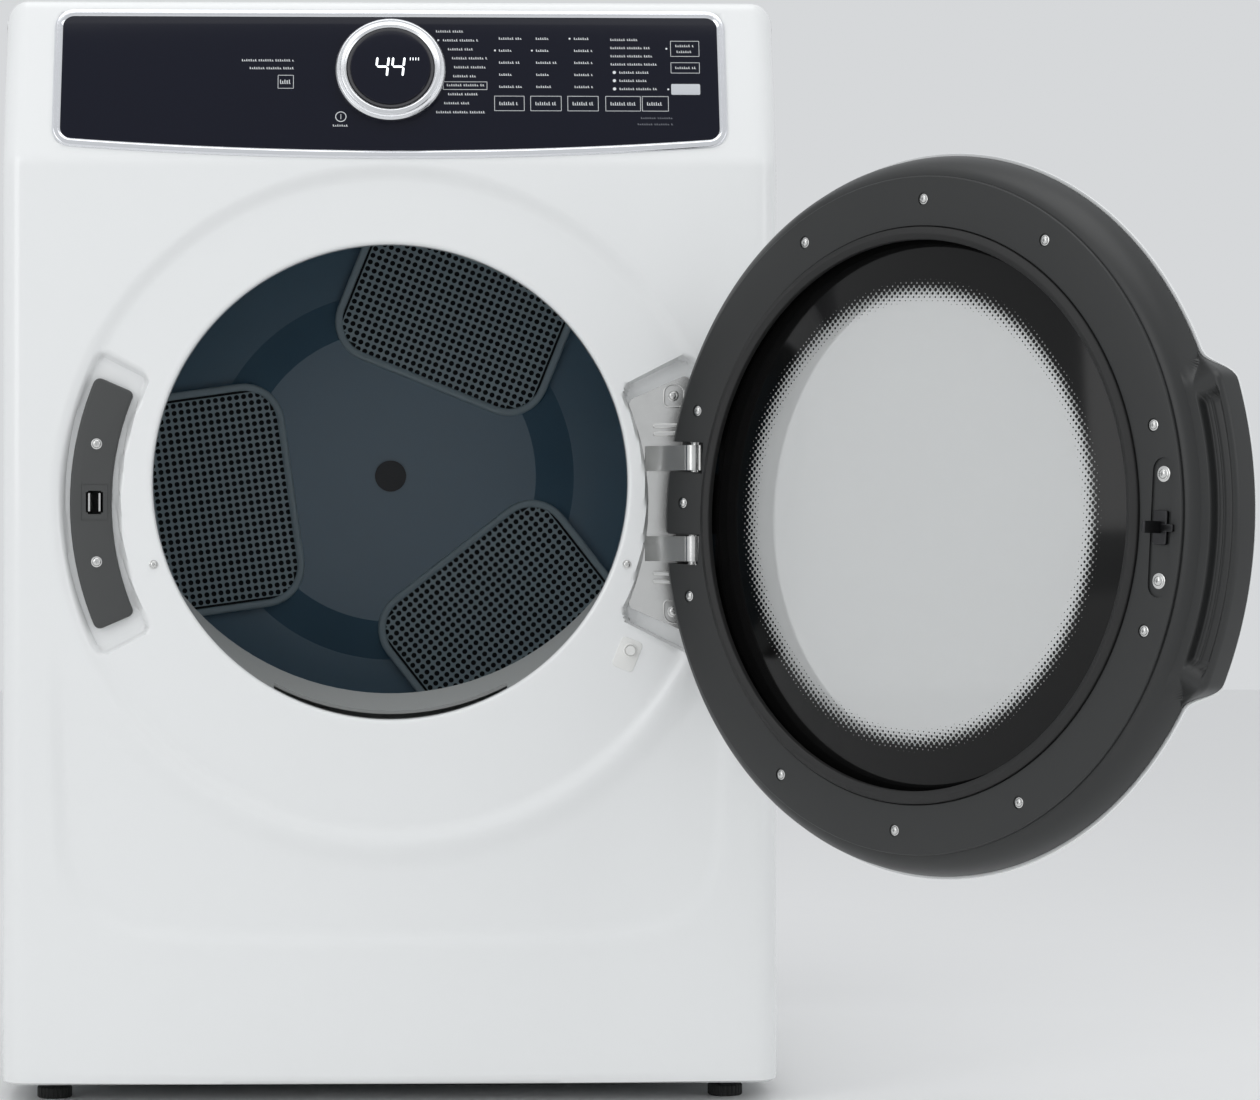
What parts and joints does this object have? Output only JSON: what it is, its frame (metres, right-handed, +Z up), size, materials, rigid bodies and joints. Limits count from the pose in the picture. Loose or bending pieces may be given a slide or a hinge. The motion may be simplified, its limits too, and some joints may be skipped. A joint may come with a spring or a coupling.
{
  "type": "clothes dryer",
  "caption": "Front-loading clothes dryer with leaning control fascia and dial, round see-through door swung open, turning drum with hot-air grilles, belt drive, blower and rear exhaust.",
  "frame": {"origin": "centre of the footprint of the feet, on the floor", "axes": "+Z up, -Y towards the user (the door side), +X to the right as the user faces it"},
  "size_m": [1.0179, 1.2003, 0.979],
  "materials": {
    "cabinet_paint": "smooth gloss white enamel",
    "zinc_steel": "bare galvanised sheet with a faint spangle",
    "white_plastic": "moulded, semi gloss",
    "bright_trim": "bright satin plating",
    "fascia_gloss": "polished navy black",
    "dial_metal": "fine turned satin",
    "display_glass": "smoked, polished",
    "circuit_board": "lacquered board",
    "charcoal_plastic": "fine moulded texture",
    "plated_steel": "zinc plated, slightly dull",
    "filter_screen": "plastic frame with woven screen",
    "felt": "pressed wool felt",
    "drum_paint": "semi gloss navy grey enamel",
    "grille_paint": "satin grey",
    "vane_plastic": "moulded",
    "heater_wire": "heat darkened",
    "belt_rubber": "ribbed",
    "motor_paint": "satin black",
    "door_charcoal": "fine satin moulding",
    "seal_rubber": "matt",
    "inner_glass": "clear with a black printed border",
    "outer_glass": "lightly tinted, polished",
    "foot_rubber": "matt ribbed"
  },
  "bodies": {
    "cabinet": {"base_frame": "zinc_steel", "blower_housing": "charcoal_plastic", "console_housing": "white_plastic", "control_board": "circuit_board", "control_fascia": "fascia_gloss", "display_barrel": "fascia_gloss", "display_lens": "display_glass", "drive_belt": "belt_rubber", "exhaust_duct": "zinc_steel", "fascia_trim": "bright_trim", "front_bulkhead": "charcoal_plastic", "front_drum_seal": "felt", "front_panel": "cabinet_paint", "heater_coil": "heater_wire", "heater_housing": "zinc_steel", "hinge_bracket": "plated_steel", "hinge_pin": "plated_steel", "idler_post": "zinc_steel", "latch_housing": "charcoal_plastic", "latch_plate": "charcoal_plastic", "left_side_panel": "cabinet_paint", "leg_nuts": "plated_steel", "lint_duct": "charcoal_plastic", "moisture_bars": "plated_steel", "motor": "motor_paint", "motor_bracket": "zinc_steel", "panel_screws": "plated_steel", "rear_bearing": "plated_steel", "rear_bulkhead": "zinc_steel", "rear_drum_seal": "felt", "rear_panel": "zinc_steel", "right_side_panel": "cabinet_paint", "top_panel": "cabinet_paint", "water_valve": "white_plastic"},
    "door": {"door_inner_ring": "door_charcoal", "door_seal": "seal_rubber", "door_glass": "inner_glass", "door_outer_shell": "door_charcoal", "door_front_cover": "cabinet_paint", "door_window": "outer_glass", "door_screws": "plated_steel", "door_striker": "plated_steel"},
    "drum": {"drum_shell": "drum_paint", "drum_back": "drum_paint", "drum_grilles": "grille_paint", "drum_vanes": "vane_plastic", "drum_shaft": "plated_steel"},
    "motor_rotor": {"motor_rotor": "plated_steel", "blower_wheel": "vane_plastic"},
    "idler_arm": {"idler_arm": "plated_steel"},
    "idler_pulley": {"idler_pulley": "vane_plastic"},
    "dial": {"dial_ring": "dial_metal"},
    "lint_filter": {"lint_filter": "filter_screen"},
    "latch_jaw_left": {"latch_jaw_left": "plated_steel"},
    "latch_jaw_right": {"latch_jaw_right": "plated_steel"},
    "door_switch": {"door_switch_plunger": "white_plastic"},
    "foot_front_left": {"foot_front_left": "foot_rubber"},
    "foot_front_right": {"foot_front_right": "foot_rubber"},
    "foot_rear_left": {"foot_rear_left": "foot_rubber"},
    "foot_rear_right": {"foot_rear_right": "foot_rubber"}
  },
  "joints": [
    {"name": "door_hinge", "type": "hinge", "parent": "cabinet", "child": "door", "pos_m": [0.267, -0.372, 0.53], "axis": [0.026, 0, 0.9997], "range_deg": [-131.66, 0]},
    {"name": "drum_spin", "type": "hinge", "parent": "cabinet", "child": "drum", "pos_m": [0, 0, 0.562], "axis": [0, 1, 0], "continuous": true},
    {"name": "motor_spin", "type": "hinge", "parent": "cabinet", "child": "motor_rotor", "pos_m": [0.12, 0, 0.125], "axis": [0, 1, 0], "continuous": true},
    {"name": "idler_swing", "type": "hinge", "parent": "cabinet", "child": "idler_arm", "pos_m": [0.085, 0.0755, 0.092], "axis": [0, 1, 0], "range_deg": [0, 8], "stiffness_Nm_per_rad": 2, "springref_deg": -17.19},
    {"name": "idler_spin", "type": "hinge", "parent": "idler_arm", "child": "idler_pulley", "pos_m": [0.03, 0.062, 0.1], "axis": [0, 1, 0], "continuous": true},
    {"name": "dial_turn", "type": "hinge", "parent": "cabinet", "child": "dial", "pos_m": [0, -0.32373, 0.91284], "axis": [0, -0.9511, 0.309], "continuous": true},
    {"name": "lint_filter_slide", "type": "slide", "parent": "cabinet", "child": "lint_filter", "axis": [0, 0, 1], "range_m": [0, 0.2]},
    {"name": "latch_jaw_left_slide", "type": "slide", "parent": "cabinet", "child": "latch_jaw_left", "axis": [-1, 0, 0], "range_m": [0, 0.0015], "stiffness_N_per_m": 400},
    {"name": "latch_jaw_right_slide", "type": "slide", "parent": "cabinet", "child": "latch_jaw_right", "axis": [1, 0, 0], "range_m": [0, 0.0015], "stiffness_N_per_m": 400},
    {"name": "door_switch_press", "type": "slide", "parent": "cabinet", "child": "door_switch", "axis": [0, 1, 0], "range_m": [0, 0.004], "stiffness_N_per_m": 250},
    {"name": "foot_front_left_screw", "type": "slide", "parent": "cabinet", "child": "foot_front_left", "axis": [0, 0, -1], "range_m": [0, 0.015]},
    {"name": "foot_front_right_screw", "type": "slide", "parent": "cabinet", "child": "foot_front_right", "axis": [0, 0, -1], "range_m": [0, 0.015]},
    {"name": "foot_rear_left_screw", "type": "slide", "parent": "cabinet", "child": "foot_rear_left", "axis": [0, 0, -1], "range_m": [0, 0.015]},
    {"name": "foot_rear_right_screw", "type": "slide", "parent": "cabinet", "child": "foot_rear_right", "axis": [0, 0, -1], "range_m": [0, 0.015]}
  ],
  "couplings": [
    {"joint": "motor_spin", "follows": "drum_spin", "ratio": 28.017},
    {"joint": "idler_spin", "follows": "drum_spin", "ratio": 10.864}
  ]
}
